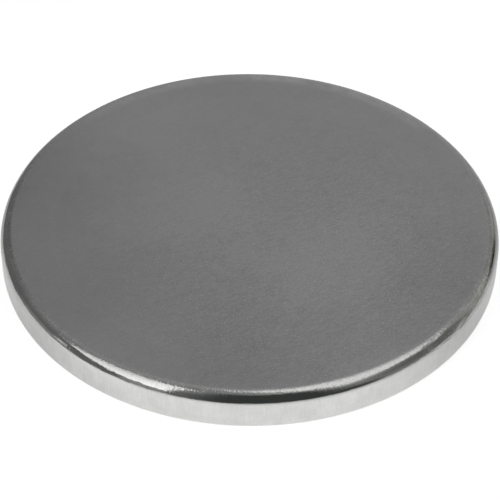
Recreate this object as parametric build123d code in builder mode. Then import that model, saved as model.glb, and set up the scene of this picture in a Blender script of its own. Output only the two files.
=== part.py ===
from build123d import *
import os

# Rare earth cup magnet: a disc magnet potted in a shallow drawn steel cup. Millimetres.
# The origin is the centre of the pull face, in the plane of the cup's rim.
# +Z runs through the magnet to the closed back of the cup.

# Steel cup
cup_diameter = 18.0
cup_height = 1.5
sheet_thickness = 0.4
shoulder_radius = 0.45  # outside round between the back and the wall
floor_corner_radius = 0.1  # inside round between the floor and the wall, left by the punch
rim_chamfer = 0.04  # deburred inner edge of the rim
rim_land = 0.08  # flat left on the rim, between the chamfer and the outer round

# Magnet disc
magnet_setback = 0.1  # pull face behind the plane of the rim
magnet_chamfer = 0.12

# Potting resin
resin_gap = 0.6  # between the disc and the cup's wall
resin_step = 0.08  # wall of the disc left bare above the resin
meniscus_depth = 0.06  # sag of the resin between its two edges

cup_radius = cup_diameter / 2
bore_radius = cup_radius - sheet_thickness
floor_height = cup_height - sheet_thickness
rim_outer_radius = sheet_thickness - rim_chamfer - rim_land
magnet_radius = bore_radius - resin_gap
magnet_thickness = floor_height - magnet_setback
resin_height = magnet_setback + magnet_chamfer + resin_step

# The cup is one sheet of steel: a round back with its wall drawn down to the rim
with BuildPart() as steel_cup:
    with BuildSketch(Plane.XZ):
        with BuildLine():
            sheet = FilletPolyline(
                (0, floor_height),
                (bore_radius, floor_height),
                (bore_radius, rim_chamfer),
                (bore_radius + rim_chamfer, 0),
                (cup_radius, 0),
                (cup_radius, cup_height),
                (0, cup_height),
                radius=[floor_corner_radius, 0, 0, rim_outer_radius, shoulder_radius],
            )
            Line(sheet @ 1, sheet @ 0)
        make_face()
    revolve(axis=Axis.Z)

# The magnet seats on the cup's floor, with both its edges chamfered
with BuildPart() as magnet_disc:
    with BuildSketch(Plane.XY.offset(magnet_setback)):
        Circle(magnet_radius)
    extrude(amount=magnet_thickness)
    chamfer(magnet_disc.edges().filter_by(GeomType.CIRCLE), magnet_chamfer)

# The resin fills the ring round the magnet down to the floor, and its free surface is a shallow trough
with BuildPart() as resin_ring:
    with BuildSketch(Plane.XZ):
        with BuildLine():
            poured = FilletPolyline(
                (magnet_radius, resin_height),
                (magnet_radius, floor_height - magnet_chamfer),
                (magnet_radius - magnet_chamfer, floor_height),
                (bore_radius, floor_height),
                (bore_radius, resin_height),
                radius=[0, 0, floor_corner_radius],
            )
            SagittaArc(poured @ 0, poured @ 1, meniscus_depth)
        make_face()
    revolve(axis=Axis.Z)

os.makedirs("parts", exist_ok=True)
pieces = {"steel_cup": steel_cup, "magnet_disc": magnet_disc, "resin_ring": resin_ring}
for node, piece in pieces.items():
    piece.part.label = node
    export_step(piece.part, f"parts/{node}.step")
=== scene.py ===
import math

import bpy
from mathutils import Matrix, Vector, noise


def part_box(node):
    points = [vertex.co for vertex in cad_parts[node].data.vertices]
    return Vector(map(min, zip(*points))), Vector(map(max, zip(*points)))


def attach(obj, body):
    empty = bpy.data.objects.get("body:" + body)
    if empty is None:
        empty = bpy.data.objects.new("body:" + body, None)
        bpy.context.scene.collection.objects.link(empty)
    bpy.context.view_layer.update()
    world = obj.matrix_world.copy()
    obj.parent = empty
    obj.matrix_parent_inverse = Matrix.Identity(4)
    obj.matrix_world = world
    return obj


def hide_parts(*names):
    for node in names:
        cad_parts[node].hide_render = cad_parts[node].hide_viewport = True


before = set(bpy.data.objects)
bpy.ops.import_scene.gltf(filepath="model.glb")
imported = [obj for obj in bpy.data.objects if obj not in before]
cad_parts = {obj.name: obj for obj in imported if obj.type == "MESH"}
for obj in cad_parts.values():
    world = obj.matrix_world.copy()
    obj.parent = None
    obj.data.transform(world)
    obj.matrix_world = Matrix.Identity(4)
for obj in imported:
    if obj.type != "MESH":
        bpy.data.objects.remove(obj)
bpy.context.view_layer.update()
print("frame loaded:", ", ".join(sorted(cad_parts)))

mm = 0.001
sharpAngle = 28  # degrees between faces from which an edge stays sharp

# Main sizes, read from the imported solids
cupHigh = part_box("steel_cup")[1]
magnetLow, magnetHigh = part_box("magnet_disc")
resinLow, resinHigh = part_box("resin_ring")
cupRadius = cupHigh.x
cupHeight = cupHigh.z
boreRadius = resinHigh.x
floorHeight = resinHigh.z
magnetRadius = magnetHigh.x
middle = Vector((0, 0, cupHeight / 2))


# Shader maths: arithmetic on a socket adds Math nodes

class Wire:
    def __init__(self, nodes, socket):
        self.nodes = nodes
        self.socket = socket

    def maths(self, operation, first, second):
        return self.nodes.make("Math", {"operation": operation}, {0: first, 1: second})

    def __add__(self, other):
        return self.maths("ADD", self, other)

    def __radd__(self, other):
        return self.maths("ADD", other, self)

    def __sub__(self, other):
        return self.maths("SUBTRACT", self, other)

    def __rsub__(self, other):
        return self.maths("SUBTRACT", other, self)

    def __mul__(self, other):
        return self.maths("MULTIPLY", self, other)

    def __rmul__(self, other):
        return self.maths("MULTIPLY", other, self)


class Nodes:
    # a node tree, filled by one method
    def __init__(self, tree):
        self.tree = tree
        tree.nodes.clear()

    def make(self, kind, settings=None, sockets=None, output=0):
        node = self.tree.nodes.new("ShaderNode" + kind)
        for name, value in (settings or {}).items():
            setattr(node, name, value)
        for key, value in (sockets or {}).items():
            if isinstance(value, Wire):
                self.tree.links.new(value.socket, node.inputs[key])
            else:
                node.inputs[key].default_value = value
        return Wire(self, node.outputs[output]) if node.outputs else None


def smooth(value, low, high):
    # 0 below low, 1 above high, and a soft step between; low may be the larger
    if low > high:
        return 1 - smooth(value, high, low)
    settings = {"interpolation_type": "SMOOTHSTEP"}
    return value.nodes.make("MapRange", settings, {"Value": value, "From Min": low, "From Max": high})


def atLeast(least, mask):
    # a mask that never falls below this share
    return least + mask * (1 - least)


def tint(nodes, factor, first, second):
    return nodes.make("Mix", {"data_type": "RGBA"}, {0: factor, 6: first, 7: second}, 2)


def grain(nodes, place, size, detail=2.0, roughness=0.5):
    # noise from 0 to 1 whose lumps are about this size, in metres
    sockets = {"Vector": place, "Scale": 1 / size, "Detail": detail, "Roughness": roughness}
    return nodes.make("TexNoise", {}, sockets)


def newMaterial(name):
    material = bpy.data.materials.new(name)
    material.use_nodes = True
    return material, Nodes(material.node_tree)


def vector(nodes, operation, first, second):
    # vector maths whose answer is a vector
    return nodes.make("VectorMath", {"operation": operation}, {0: first, 1: second}, "Vector")


def measure(nodes, operation, first, second):
    # vector maths whose answer is a number
    return nodes.make("VectorMath", {"operation": operation}, {0: first, 1: second}, "Value")


def coordinate(nodes, place, axis):
    return nodes.make("SeparateXYZ", {}, {0: place}, axis)


def reach(nodes, place, centre=(0, 0)):
    # distance from an upright line through this point
    flat = vector(nodes, "MULTIPLY", place, (1, 1, 0))
    return measure(nodes, "DISTANCE", flat, (centre[0], centre[1], 0))


def outwards(nodes, place):
    # the level direction away from the Z axis, one unit long
    flat = vector(nodes, "MULTIPLY", place, (1, 1, 0))
    return vector(nodes, "NORMALIZE", flat, (0, 0, 0))


def bearing(azimuth, elevation):
    # a direction: azimuth clockwise from the back (+Y), elevation above the table
    a, e = math.radians(azimuth), math.radians(elevation)
    return Vector((math.sin(a) * math.cos(e), math.cos(a) * math.cos(e), math.sin(e)))


def ramp(value, low, high):
    # plain numbers: 0 below low, 1 above high, and straight between
    return min(max((value - low) / (high - low), 0), 1)


# Outlines of turned pieces, as radius and height; each run says how many steps it is cut into

def lineOf(start, end, steps):
    # the points after start on a straight run
    (r0, z0), (r1, z1) = start, end
    return [(r0 + (r1 - r0) * i / steps, z0 + (z1 - z0) * i / steps) for i in range(1, steps + 1)]


def arcOf(centre, radius, fromAngle, toAngle, steps):
    # the points after the first on a round run; angles in degrees from the outward direction
    points = []
    for i in range(1, steps + 1):
        angle = math.radians(fromAngle + (toAngle - fromAngle) * i / steps)
        points.append((centre[0] + radius * math.cos(angle), centre[1] + radius * math.sin(angle)))
    return points


def newPiece(name, points, faces):
    mesh = bpy.data.meshes.new(name)
    mesh.from_pydata(points, [], faces)
    piece = bpy.data.objects.new(name, mesh)
    bpy.context.scene.collection.objects.link(piece)
    return piece


def turned(name, outline, around, lumps=None):
    # revolves an outline about Z: one that starts on the axis ends there too, any other is a closed loop
    toAxis = outline[0][0] == 0
    rings = outline[1:-1] if toAxis else outline
    points = []
    for radius, height in rings:
        for i in range(around):
            angle = 2 * math.pi * i / around
            point = Vector((radius * math.cos(angle), radius * math.sin(angle), height))
            points.append(lumps(point) if lumps else point)
    faces = []
    spans = len(rings) - 1 if toAxis else len(rings)
    for ring in range(spans):
        low, high = ring * around, (ring + 1) % len(rings) * around
        for i in range(around):
            j = (i + 1) % around
            faces.append((low + i, low + j, high + j, high + i))
    if toAxis:
        first, last = len(points), len(points) + 1
        points += [Vector((0, 0, outline[0][1])), Vector((0, 0, outline[-1][1]))]
        top = (len(rings) - 1) * around
        for i in range(around):
            j = (i + 1) % around
            faces.append((first, j, i))
            faces.append((last, top + i, top + j))
    piece = newPiece(name, points, faces)
    piece.data.validate()
    piece.data.update()
    piece.data.shade_smooth()
    piece.data.set_sharp_from_angle(angle=math.radians(sharpAngle))
    return piece


def dress(piece, material, node):
    piece.data.materials.append(material)
    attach(piece, "root")
    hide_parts(node)


# Steel cup: seen from outside, with its closed back up

cup = {
    "around": 720,  # faces in each ring
    "shoulderRadius": 0.45 * mm,
    "floorCornerRadius": 0.1 * mm,
    "rimChamfer": 0.04 * mm,
    "rimLand": 0.08 * mm,
    "crownWidth": 0.9 * mm,  # the back falls away slightly before the shoulder
    "crownDrop": 0.02 * mm,
    "crownFade": (0.5 * mm, 0.1 * mm),  # it sets in between these depths below the cup's floor
    "lumpSize": 0.5 * mm,  # waviness left by the drawing die
    "lumpHeight": 0.003 * mm,
    "lumpFade": (0.3 * mm, 0.1 * mm),  # it sets in over these widths, on the shoulder and above the rim
    # nickel
    "nickel": (0.66, 0.662, 0.65, 1),
    "nickelDull": (0.485, 0.488, 0.485, 1),
    "nickelBack": (0.597, 0.592, 0.597, 1),  # the back is satin and a little greyer
    "nickelBackDull": (0.415, 0.4125, 0.415, 1),
    "nickelBright": (0.86, 0.865, 0.86, 1),  # painted into the back's specks as glints, and into the lighter patches along its edge
    "backRoughness": 0.36,
    "backRoughnessSpread": 0.12,
    "shoulderRoughness": 0.09,
    "wallRoughness": 0.16,
    # where the finishes set in, inwards from the side or downwards from the back
    "satinInset": (0.28 * mm, 0.52 * mm),
    "satinBelow": (0.25 * mm, 0.1 * mm),
    "wallBelow": (0.34 * mm, 0.48 * mm),
    "peelInset": (0.8 * mm, 0.4 * mm),
    "peelFullInset": (0.15 * mm, 0.32 * mm),
    "shoulderSpeckBelow": (0.15 * mm, 0.03 * mm),
    # straight grain of the sheet, with finer fibres in it
    "grainAngle": 28,  # degrees from X
    "grainStretch": 3,
    "grainSize": 0.11 * mm,
    "grainDepth": 0.003 * mm,
    "grainClouds": (0.3, 0.65),  # it shows where the clouds are dense
    "fibreSize": 0.06 * mm,
    "fibreShade": 0.8,
    # orange peel of the plating, strongest where the mottle is dense
    "peelSize": 0.085 * mm,
    "peelDepth": 0.0085 * mm,
    "peelMottle": (0.4, 0.6),
    "peelLeast": 0.4,
    "peelLeastOutside": 0.3,  # what is left of it towards the wall
    # draw marks across the shoulder and up the wall, where the mottle is thin
    "ribSize": 0.09 * mm,
    "ribDepth": 0.003 * mm,
    "ribDrift": 0.15,  # how much they change along their length
    "ribMottle": (0.6, 0.35),
    "ribWallLoss": 0.5,
    # polishing lines round the shoulder, deeper at the left and most at the right
    "lineSize": 0.1 * mm,
    "lineDepth": 0.008 * mm,
    "lineStretch": 6,
    "lineShare": 0.2,
    "lineShareLeft": 0.35,
    "lineShareRight": 3.2,
    "lineLeft": (-0.1, -0.4),  # along X, as shares of the radius
    "lineRight": (0.55, 0.8),
    "lineRightEnd": (0.98, 0.9),
    # mottle and clouds
    "mottleSize": 0.7 * mm,
    "cloudSize": 3.2 * mm,
    # bright specks painted on the back as glints, and duller ones on the shoulder, most where the mottle
    # is dense
    "speckSize": 0.05 * mm,
    "speckDust": (0.55, 0.8),
    "speckMottle": (0.25, 0.6),
    "speckLeast": 0.4,
    "paintedGlintShade": 0.75,
    "shoulderSpeckDust": (0.45, 0.75),
    "shoulderSpeckMottle": (0.4, 0.6),
    "shoulderSpeckLeast": 0.35,
    "shoulderSpeckRoughness": 0.3,  # added by each
    "shoulderSpeckMetalLoss": 0.25,
    # how much the marks of the shoulder and the wall dull them
    "edgeMottle": (0.8, 0.2),
    "edgeMottleShade": 0.4,
    "edgeDustShade": 0.4,
    "edgeRibShade": 0.5,
    # pits
    "pitSpacing": 1.7 * mm,
    "pitRadius": 0.03 * mm,
    "pitEdge": (1.6, 0.6),  # where one sets in, as shares of its radius
    "pitShade": 0.7,
    "pitColour": (0.2, 0.2, 0.19, 1),
    # the most worn place of the back and how far it spreads, as shares of the radius
    "wornCentre": (0.25, -0.3),
    "wornReach": (1.1, 0.3),
    "wornLeast": 0.45,
    # painted shade and light on the back: patches that make it darker, or lighter where the amount is
    # negative; place and reach as shares of the radius, and how much darker
    "dullShare": 0.255,
    "dullMottleShade": 0.55,
    "patches": [
        (-0.95, 0.15, 0.6, 0.43),
        (-0.65, -0.45, 0.45, 0.3),
        (0, -0.87, 0.6, 0.37),
        (0.85, -0.4, 0.65, 0.48),
        (0.78, 0.18, 0.35, 0.15),
        (0.8, 0.55, 0.5, 0.08),
        (0.12, 0.2, 0.35, 0.06),
        (0.4, 0.4, 0.4, 0.1),
        (-0.25, -0.35, 0.35, 0.12),
        (-0.2, 0.08, 0.4, -0.28),
        (0.35, -0.25, 0.4, -0.26),
        (-0.42, 0.6, 0.45, -0.24),
    ],
    "swirlSize": 2 * mm,  # their outlines are bent by this
    "swirlReach": 3 * mm,
    # lighter patches along the back's edge: bearing and spread in degrees, and strength
    "edgeLighterPatches": [
        (-27, 27, 0.38),
        (6, 13, 0.5),
        (26, 12, 0.38),
        (42, 11, 0.32),
    ],
    "edgeLighterBand": (0.895, 0.94),  # where they set in, as shares of the radius
    "edgeLighterMottle": (0.25, 0.6),
    # a faint ring where the punch pressed, as shares of the radius
    "ringRadius": 0.79,
    "ringWidth": 0.03,
    "ringMottle": (0.35, 0.6),
    "ringLight": 0.1,
}


def cupOutline():
    sheet = cupRadius - boreRadius
    rimRadius = sheet - cup["rimChamfer"] - cup["rimLand"]
    shoulder, corner, chamfer = cup["shoulderRadius"], cup["floorCornerRadius"], cup["rimChamfer"]
    outline = [(0, floorHeight)]
    outline += lineOf(outline[-1], (boreRadius - corner, floorHeight), 6)
    outline += arcOf((boreRadius - corner, floorHeight - corner), corner, 90, 0, 4)
    outline += lineOf(outline[-1], (boreRadius, chamfer), 6)
    outline += lineOf(outline[-1], (boreRadius + chamfer, 0), 1)
    outline += lineOf(outline[-1], (cupRadius - rimRadius, 0), 2)
    outline += arcOf((cupRadius - rimRadius, rimRadius), rimRadius, -90, 0, 9)
    outline += lineOf(outline[-1], (cupRadius, cupHeight - shoulder), 8)
    outline += arcOf((cupRadius - shoulder, cupHeight - shoulder), shoulder, 0, 90, 16)
    outline += lineOf(outline[-1], (0, cupHeight), 24)
    return outline


def cupLumps(point):
    # a slight crown and waviness at the drawn corner, none on the flat back and the rim's land
    radius = math.hypot(point.x, point.y)
    deep, shallow = cup["crownFade"]
    high = ramp(point.z, floorHeight - deep, floorHeight - shallow)
    edge = ramp(radius, cupRadius - cup["crownWidth"], cupRadius)
    drop = cup["crownDrop"] * edge * edge * high
    start = cupRadius - cup["shoulderRadius"]
    over, above = cup["lumpFade"]
    share = ramp(radius, start, start + over) * ramp(point.z, 0, above)
    push = (noise.noise(point / cup["lumpSize"]) - 1) / 2 * cup["lumpHeight"] * share
    outward = Vector((point.x, point.y, 0)).normalized()
    return point + outward * push - Vector((0, 0, drop))


def backShadeAndTone(nodes, place, mottle):
    # how much darker the back is from place to place, from 0 to about 1: random tone, a faint lighter
    # ring, and painted shade and light in patches
    swirl = nodes.make("TexNoise", {}, {"Vector": place, "Scale": 1 / cup["swirlSize"]}, "Color")
    swirl = vector(nodes, "SUBTRACT", swirl, (0.5, 0.5, 0.5))
    swirl = vector(nodes, "MULTIPLY", swirl, (cup["swirlReach"], cup["swirlReach"], 0))
    bent = vector(nodes, "ADD", place, swirl)
    dull = cup["dullShare"] + (mottle - 0.5) * cup["dullMottleShade"]
    # painted shade and light: each patch darkens the back, or lightens it where its amount is negative
    for x, y, size, amount in cup["patches"]:
        away = reach(nodes, bent, (x * cupRadius, y * cupRadius))
        dull = dull + smooth(away, size * cupRadius, 0) * amount
    away = reach(nodes, place) * (1 / cupRadius) - cup["ringRadius"]
    ring = smooth(nodes.make("Math", {"operation": "ABSOLUTE"}, {0: away}), cup["ringWidth"], 0)
    return dull - ring * smooth(mottle, *cup["ringMottle"]) * cup["ringLight"]


def backEdgeLighter(nodes, outward, radius, mottle):
    # how much lighter the back's edge is made, from 0 to 1
    lighter = 0
    for azimuth, spread, strength in cup["edgeLighterPatches"]:
        closeness = measure(nodes, "DOT_PRODUCT", outward, bearing(azimuth, 0))
        lighter = lighter + smooth(closeness, math.cos(math.radians(spread)), 1) * strength
    band = smooth(radius * (1 / cupRadius), *cup["edgeLighterBand"])
    return lighter * band * smooth(mottle, *cup["edgeLighterMottle"])


def cupNickel():
    material, nodes = newMaterial("cupNickel")
    place = nodes.make("TexCoord", {}, {}, "Object")
    side = coordinate(nodes, place, "X") * (1 / cupRadius)
    height = coordinate(nodes, place, "Z")
    radius = reach(nodes, place)
    outward = outwards(nodes, place)
    # the satin back and the wall; the shoulder lies between them
    inset = cupRadius - radius
    below = cupHeight - height
    back = smooth(inset, *cup["satinInset"]) * smooth(below, *cup["satinBelow"])
    wall = smooth(below, *cup["wallBelow"])
    # patterns along the sheet's grain
    turn = (0, 0, math.radians(cup["grainAngle"]))
    along = {"Vector": place, "Rotation": turn, "Scale": (cup["grainStretch"], 1, 1)}
    rolled = nodes.make("Mapping", {"vector_type": "TEXTURE"}, along)
    streaks = grain(nodes, rolled, cup["grainSize"], 3.0, 0.6)
    fibres = grain(nodes, rolled, cup["fibreSize"], 2.0, 0.6)
    # patterns round the shoulder
    profile = nodes.make("CombineXYZ", {}, {"Z": radius - height})
    girth = vector(nodes, "MULTIPLY", outward, [cupRadius] * 3)
    drift = vector(nodes, "MULTIPLY", profile, (0, 0, cup["ribDrift"]))
    ribs = grain(nodes, vector(nodes, "ADD", girth, drift), cup["ribSize"])
    girth = vector(nodes, "MULTIPLY", outward, [cupRadius / cup["lineStretch"]] * 3)
    lines = grain(nodes, vector(nodes, "ADD", girth, profile), cup["lineSize"], 2.0, 0.6)
    # even patterns
    peel = grain(nodes, place, cup["peelSize"])
    mottle = grain(nodes, place, cup["mottleSize"], 3.0, 0.6)
    clouds = grain(nodes, place, cup["cloudSize"])
    dustAndGlints = grain(nodes, place, cup["speckSize"], 1.0)
    # painted glints: bright specks of colour on the back, in place of light caught by its grains
    paintedGlints = smooth(dustAndGlints, *cup["speckDust"])
    paintedGlints = paintedGlints * atLeast(cup["speckLeast"], smooth(mottle, *cup["speckMottle"]))
    edgeSpecks = smooth(dustAndGlints, *cup["shoulderSpeckDust"]) * smooth(below, *cup["shoulderSpeckBelow"])
    dense = smooth(mottle, *cup["shoulderSpeckMottle"])
    edgeSpecks = edgeSpecks * atLeast(cup["shoulderSpeckLeast"], dense)
    centre = [share * cupRadius for share in cup["wornCentre"]]
    away = reach(nodes, place, centre) * (1 / cupRadius)
    worn = cup["wornLeast"] + smooth(away, *cup["wornReach"])
    # relief
    relief = streaks * smooth(clouds, *cup["grainClouds"]) * worn * back * cup["grainDepth"]
    peel = peel * atLeast(cup["peelLeast"], smooth(mottle, *cup["peelMottle"]))
    peel = peel * atLeast(cup["peelLeastOutside"], smooth(inset, *cup["peelFullInset"]))
    relief = relief + peel * smooth(inset, *cup["peelInset"]) * cup["peelDepth"]
    ribbed = smooth(mottle, *cup["ribMottle"]) * (1 - back) * (1 - wall * cup["ribWallLoss"])
    relief = relief + ribs * ribbed * cup["ribDepth"]
    left = smooth(side, *cup["lineLeft"])
    right = smooth(side, *cup["lineRight"]) * smooth(side, *cup["lineRightEnd"])
    lined = cup["lineShare"] + left * cup["lineShareLeft"] + right * cup["lineShareRight"]
    relief = relief + lines * lined * (1 - back) * (1 - wall) * cup["lineDepth"]
    bump = nodes.make("Bump", {}, {"Distance": 1.0, "Height": relief})
    # colour
    # the back's tone with its painted shade and light, and the sheet's grain
    dull = backShadeAndTone(nodes, place, mottle) + (streaks + fibres - 1) * cup["fibreShade"] * worn
    bright = paintedGlints * worn * cup["paintedGlintShade"] + backEdgeLighter(nodes, outward, radius, mottle)
    backColour = tint(nodes, dull, cup["nickelBack"], cup["nickelBackDull"])
    backColour = tint(nodes, bright, backColour, cup["nickelBright"])
    dull = smooth(mottle, *cup["edgeMottle"]) * cup["edgeMottleShade"]
    dull = dull + (dustAndGlints - 0.5) * cup["edgeDustShade"] + (ribs - 0.5) * cup["edgeRibShade"]
    edgeColour = tint(nodes, dull, cup["nickel"], cup["nickelDull"])
    colour = tint(nodes, back, edgeColour, backColour)
    cells = nodes.make("TexVoronoi", {}, {"Vector": place, "Scale": 1 / cup["pitSpacing"]}, "Distance")
    pits = smooth(cells * (cup["pitSpacing"] / cup["pitRadius"]), *cup["pitEdge"]) * (1 - back)
    colour = tint(nodes, pits * cup["pitShade"], colour, cup["pitColour"])
    # gloss
    edge = cup["shoulderRoughness"] + wall * (cup["wallRoughness"] - cup["shoulderRoughness"])
    edge = edge + edgeSpecks * cup["shoulderSpeckRoughness"]
    rough = edge + back * (cup["backRoughness"] + (clouds - 0.5) * cup["backRoughnessSpread"] - edge)
    metallic = 1 - edgeSpecks * cup["shoulderSpeckMetalLoss"]
    sockets = {"Base Color": colour, "Metallic": metallic, "Roughness": rough, "Normal": bump}
    surface = nodes.make("BsdfPrincipled", {}, sockets)
    nodes.make("OutputMaterial", {}, {"Surface": surface})
    return material


steelCup = turned("steelCup", cupOutline(), cup["around"], cupLumps)
dress(steelCup, cupNickel(), "steel_cup")
print("steel cup:", len(steelCup.data.polygons), "faces")


# Magnet disc: its pull face shows from below

magnet = {
    "around": 360,
    "chamfer": 0.12 * mm,
    "nickel": (0.66, 0.655, 0.635, 1),
    "nickelDull": (0.54, 0.535, 0.515, 1),
    "roughness": 0.26,
    "roughnessSpread": 0.12,
    # grinding lines under the plating
    "lineSize": 0.1 * mm,
    "lineStretch": 9,
    "lineDepth": 0.004 * mm,
    "lineShade": 0.8,
    # pebbles and clouds of the plating
    "pebbleSize": 0.09 * mm,
    "pebbleDepth": 0.003 * mm,
    "pebbleShade": 0.4,
    "cloudSize": 2.4 * mm,
    "cloudBand": (0.3, 0.7),  # how dense a cloud starts to show, and shows fully
    "cloudShade": 0.6,
}


def magnetOutline():
    low, high, edge = magnetLow.z, magnetHigh.z, magnet["chamfer"]
    outline = [(0, low)]
    outline += lineOf(outline[-1], (magnetRadius - edge, low), 16)
    outline += lineOf(outline[-1], (magnetRadius, low + edge), 3)
    outline += lineOf(outline[-1], (magnetRadius, high - edge), 6)
    outline += lineOf(outline[-1], (magnetRadius - edge, high), 3)
    outline += lineOf(outline[-1], (0, high), 8)
    return outline


def magnetNickel():
    material, nodes = newMaterial("magnetNickel")
    place = nodes.make("TexCoord", {}, {}, "Object")
    along = {"Vector": place, "Scale": (magnet["lineStretch"], 1, 1)}
    ground = nodes.make("Mapping", {"vector_type": "TEXTURE"}, along)
    lines = grain(nodes, ground, magnet["lineSize"], 3.0, 0.65)
    pebbles = grain(nodes, place, magnet["pebbleSize"], 2.0, 0.6)
    clouds = grain(nodes, place, magnet["cloudSize"], 3.0, 0.6)
    relief = lines * magnet["lineDepth"] + pebbles * magnet["pebbleDepth"]
    bump = nodes.make("Bump", {}, {"Distance": 1.0, "Height": relief})
    dull = smooth(clouds, *magnet["cloudBand"]) * magnet["cloudShade"]
    dull = dull + (lines - 0.5) * magnet["lineShade"] + (pebbles - 0.3) * magnet["pebbleShade"]
    colour = tint(nodes, dull, magnet["nickel"], magnet["nickelDull"])
    rough = magnet["roughness"] + (clouds - 0.5) * magnet["roughnessSpread"]
    sockets = {"Base Color": colour, "Metallic": 1.0, "Roughness": rough, "Normal": bump}
    surface = nodes.make("BsdfPrincipled", {}, sockets)
    nodes.make("OutputMaterial", {}, {"Surface": surface})
    return material


magnetDisc = turned("magnetDisc", magnetOutline(), magnet["around"])
dress(magnetDisc, magnetNickel(), "magnet_disc")
print("magnet disc:", len(magnetDisc.data.polygons), "faces")


# Resin ring: fills the gap between the disc and the cup

resin = {
    "around": 480,
    "dip": 0.06 * mm,  # sag of the free surface
    "rippleSize": 0.9 * mm,
    "rippleHeight": 0.012 * mm,
    "speckSize": 0.08 * mm,
    "speckDepth": 0.004 * mm,
    "cloudSize": 1.1 * mm,
    "cloudBand": (0.45, 0.75),  # how dense a cloud starts to look dusty, and is all dusty
    "colour": (0.028, 0.028, 0.03, 1),
    "colourDusty": (0.06, 0.06, 0.062, 1),
    "roughness": 0.32,
    "roughnessSpread": 0.3,
}


def resinOutline():
    # against the disc it follows the disc's chamfer, and against the cup the cup's inner corner
    low, high, corner, edge = resinLow.z, resinHigh.z, cup["floorCornerRadius"], magnet["chamfer"]
    steps = 12
    outline = [(magnetRadius, low)]
    outline += lineOf(outline[-1], (magnetRadius, high - edge), 4)
    outline += lineOf(outline[-1], (magnetRadius - edge, high), 2)
    outline += lineOf(outline[-1], (boreRadius - corner, high), 3)
    outline += arcOf((boreRadius - corner, high - corner), corner, 90, 0, 4)
    outline += lineOf(outline[-1], (boreRadius, low), 4)
    for i in range(1, steps):
        share = i / steps
        radius = boreRadius + (magnetRadius - boreRadius) * share
        outline.append((radius, low + 4 * resin["dip"] * share * (1 - share)))
    return outline


def resinRipples(point):
    # the cured surface isn't quite even; the resin stays stuck to both walls
    radius = math.hypot(point.x, point.y)
    share = (radius - magnetRadius) / (boreRadius - magnetRadius)
    if not 0 < share < 1 or point.z > floorHeight - magnet["chamfer"]:
        return point
    lift = noise.noise(point / resin["rippleSize"]) * resin["rippleHeight"] * 4 * share * (1 - share)
    return point + Vector((0, 0, lift))


def pottingResin():
    material, nodes = newMaterial("pottingResin")
    place = nodes.make("TexCoord", {}, {}, "Object")
    specks = grain(nodes, place, resin["speckSize"], 2.0, 0.6)
    clouds = grain(nodes, place, resin["cloudSize"], 3.0, 0.6)
    bump = nodes.make("Bump", {}, {"Distance": 1.0, "Height": specks * resin["speckDepth"]})
    colour = tint(nodes, smooth(clouds, *resin["cloudBand"]), resin["colour"], resin["colourDusty"])
    rough = resin["roughness"] + (clouds - 0.5) * resin["roughnessSpread"]
    surface = nodes.make("BsdfPrincipled", {}, {"Base Color": colour, "Roughness": rough, "Normal": bump})
    nodes.make("OutputMaterial", {}, {"Surface": surface})
    return material


resinRing = turned("resinRing", resinOutline(), resin["around"], resinRipples)
dress(resinRing, pottingResin(), "resin_ring")
print("resin ring:", len(resinRing.data.polygons), "faces")


# Stage: a pale table, panels of light and the air round them

table = {
    "radius": 38 * mm,
    "centre": (14 * mm, -16 * mm),  # the table ends close behind the part, at the left
    "holeRadius": 8.2 * mm,  # under the part, so that its underside can be lit from below
    "drop": 0.01 * mm,
    "white": (0.9, 0.9, 0.9, 1),
    "seenLight": 0.71,  # its own light where the camera sees it
    "sideLight": 0.37,  # its own light in the metal, at the sides and behind
    "frontLight": 0.32,  # how much more of it in front
    "farShare": 0.2,  # what is left of it further out
    "nearWidth": 11 * mm,
    "nearCentre": (-2 * mm, -1 * mm),
    "backLoss": 0.65,  # how much is lost behind the part
    # where the front and the back set in along Y, as shares of the cup's radius
    "frontBlend": (-0.5, -1.05),
    "backBlend": (-0.2, 0.3),
}

# corners from the lower left round to the upper left, as azimuth, elevation and glow
panels = {
    "leftPanel": [(-148, 17.5, 1.6), (-93, 37, 1.0), (-86, 69, 0.55), (-144, 67, 1.3)],
    "leftSkirt": [(-148, 1, 0.3), (-128, 1, 0.3), (-128, 20, 0.3), (-148, 17, 0.4)],
    "topPanel": [(8, 57, 0.25), (72, 49.5, 0.88), (78, 90, 1.1), (-10, 88, 1.15)],
    "topPanelEnd": [(72, 49.5, 0.88), (134, 48.5, 0.95), (140, 81, 1.0), (78, 90, 1.1)],
    "window": [(-102, 6, 0.65), (-96, 7, 0.65), (-96, 19, 0.55), (-101, 19, 0.55)],
}
panelDistance = 0.5

air = {
    "left": 0.14,
    "right": 0.23,
    "overhead": 0.1,  # how much lighter it is above the part
    "below": 0.3,  # how much lighter it is under the table, which only the underside sees
    "front": 0.05,  # the dark side of the room, behind the camera
    "frontAzimuth": 170,  # degrees
    # where each of these sets in, between -1 and 1 of the way it lies
    "sideBlend": (-0.2, 0.2),  # along X
    "overheadBlend": (0.4, 0.93),  # along Z
    "belowBlend": (-0.2, -0.5),
    "frontBlend": (0.78, 0.95),  # towards the front
    "frontTop": (0.985, 0.88),  # along Z, where the front ends overhead
    "dark": (0, 0.004, 0.002, 1),  # the darkest part is slightly green
    "warm": (1.0, 1.0, 0.94),  # and the right side slightly yellow
    "warmTowards": (70, 20),  # azimuth and elevation
    "warmReach": 45,  # degrees from there
    # soft patches of the room: azimuth, elevation, radius in degrees, and how much is added
    "patches": [
        (-2, 38, 30, 0.04),
        (-27, 37, 14, -0.06),
        (-30, 64, 22, 0.08),
        (0, 12, 32, 0.15),
        (35, 12, 13, 0.12),
        (64, 24, 18, 0.2),
        (59, 27, 10, 0.08),
        (54, 8, 11, -0.22),
        (97, 32, 32, -0.1),
        (134, 58, 26, 0.22),
        (137, 8, 15, -0.16),
        (-88, -4, 24, 0.12),
    ],
}


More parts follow.
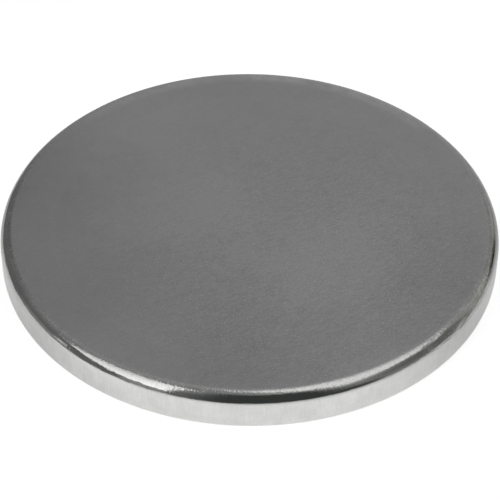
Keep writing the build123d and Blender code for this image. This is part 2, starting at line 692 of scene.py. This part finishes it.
def paleTable():
    material, nodes = newMaterial("paleTable")
    place = nodes.make("TexCoord", {}, {}, "Object")
    seen = nodes.make("LightPath", {}, {}, "Is Camera Ray")
    glossy = nodes.make("LightPath", {}, {}, "Is Glossy Ray")
    clear = nodes.make("LightPath", {}, {}, "Is Transmission Ray")
    y = coordinate(nodes, place, "Y") * (1 / cupRadius)
    near = smooth(reach(nodes, place, table["nearCentre"]), cupRadius + table["nearWidth"], cupRadius)
    near = atLeast(table["farShare"], near)
    front = smooth(y, *table["frontBlend"])
    behind = smooth(y, *table["backBlend"])
    mirrored = table["sideLight"] * (1 - behind * table["backLoss"]) + front * table["frontLight"]
    own = seen * table["seenLight"] + (glossy + clear) * mirrored * near
    diffuse = nodes.make("BsdfDiffuse", {}, {"Color": table["white"]})
    light = nodes.make("Emission", {}, {"Color": own, "Strength": 1.0})
    surface = nodes.make("AddShader", {}, {0: diffuse, 1: light})
    under = nodes.make("NewGeometry", {}, {}, "Backfacing")
    through = nodes.make("BsdfTransparent", {}, {})
    surface = nodes.make("MixShader", {}, {0: under * seen, 1: surface, 2: through})
    nodes.make("OutputMaterial", {}, {"Surface": surface})
    return material


def makeTable():
    sides = 96
    points = []
    for radius, centre in ((table["holeRadius"], (0, 0)), (table["radius"], table["centre"])):
        for i in range(sides):
            angle = 2 * math.pi * i / sides
            x, y = centre[0] + radius * math.cos(angle), centre[1] + radius * math.sin(angle)
            points.append((x, y, -table["drop"]))
    faces = [(i, sides + i, sides + (i + 1) % sides, (i + 1) % sides) for i in range(sides)]
    piece = newPiece("table", points, faces)
    piece.data.materials.append(paleTable())


def panelLight():
    material, nodes = newMaterial("panelLight")
    glow = nodes.make("Attribute", {"attribute_name": "glow"}, {}, "Fac")
    light = nodes.make("Emission", {}, {"Color": glow, "Strength": 1.0})
    nodes.make("OutputMaterial", {}, {"Surface": light})
    return material


def makePanel(name, corners, material):
    # a four-sided sheet of light, whose glow is mixed from its four corners
    steps = 8
    lowLeft, lowRight, highRight, highLeft = (Vector(corner) for corner in corners)
    points, glows, faces = [], [], []
    for row in range(steps + 1):
        left = lowLeft.lerp(highLeft, row / steps)
        right = lowRight.lerp(highRight, row / steps)
        for column in range(steps + 1):
            mixed = left.lerp(right, column / steps)
            points.append(middle + bearing(mixed.x, mixed.y) * panelDistance)
            glows.append(mixed.z)
    for row in range(steps):
        for column in range(steps):
            i = row * (steps + 1) + column
            faces.append((i, i + 1, i + steps + 2, i + steps + 1))
    piece = newPiece(name, points, faces)
    piece.data.attributes.new("glow", "FLOAT", "POINT").data.foreach_set("value", glows)
    piece.data.materials.append(material)


def makeAir():
    world = bpy.data.worlds.new("air")
    world.use_nodes = True
    bpy.context.scene.world = world
    nodes = Nodes(world.node_tree)
    towards = nodes.make("TexCoord", {}, {}, "Generated")
    x = coordinate(nodes, towards, "X")
    z = coordinate(nodes, towards, "Z")
    level = air["left"] + smooth(x, *air["sideBlend"]) * (air["right"] - air["left"])
    level = level + smooth(z, *air["overheadBlend"]) * air["overhead"]
    level = level + smooth(z, *air["belowBlend"]) * air["below"]
    for azimuth, elevation, radius, light in air["patches"]:
        closeness = measure(nodes, "DOT_PRODUCT", towards, bearing(azimuth, elevation))
        level = level + smooth(closeness, math.cos(math.radians(radius)), 1) * light
    facing = measure(nodes, "DOT_PRODUCT", outwards(nodes, towards), bearing(air["frontAzimuth"], 0))
    facing = smooth(facing, *air["frontBlend"]) * smooth(z, *air["frontTop"])
    level = level + facing * (air["front"] - level)
    seen = nodes.make("LightPath", {}, {}, "Is Camera Ray")  # the backdrop is white
    colour = tint(nodes, seen + (1 - seen) * level, air["dark"], (1, 1, 1, 1))
    closeness = measure(nodes, "DOT_PRODUCT", towards, bearing(*air["warmTowards"]))
    warm = smooth(closeness, math.cos(math.radians(air["warmReach"])), 1) * (1 - seen)
    colour = tint(nodes, warm, colour, vector(nodes, "MULTIPLY", colour, air["warm"]))
    light = nodes.make("Background", {}, {"Color": colour, "Strength": 1.0})
    nodes.make("OutputWorld", {}, {"Surface": light})


makeTable()
makeAir()
sheet = panelLight()
for name, corners in panels.items():
    makePanel(name, corners, sheet)
print("stage:", len(panels), "panels of light")


# Camera

camera = {
    "lens": 142.5,
    "sensor": 36,
    "clip": (0.005, 10),  # nearest and furthest that it sees
    "elevation": 41.36,  # degrees
    "distance": 8 * cupRadius,
    "drop": 0.586 * mm,  # the sight line passes this far below the part's middle
    "slide": 0.015 * mm,  # and this far to its right
    "roll": 0.58,  # degrees
}


def makeCamera():
    data = bpy.data.cameras.new("camera")
    data.lens = camera["lens"]
    data.sensor_width = camera["sensor"]
    data.clip_start, data.clip_end = camera["clip"]
    view = bpy.data.objects.new("camera", data)
    view.location = middle + bearing(180, camera["elevation"]) * camera["distance"]
    up = bearing(0, 90 - camera["elevation"])
    aim = middle - up * camera["drop"] + Vector((camera["slide"], 0, 0))
    view.rotation_euler = (view.location - aim).to_track_quat("Z", "Y").to_euler()
    view.rotation_euler.rotate_axis("Z", math.radians(camera["roll"]))
    bpy.context.scene.collection.objects.link(view)
    bpy.context.scene.camera = view


makeCamera()
bpy.context.scene.view_settings.view_transform = "Standard"
print("camera:", camera["lens"], "mm lens,", camera["elevation"], "degrees up")

bpy.context.view_layer.update()
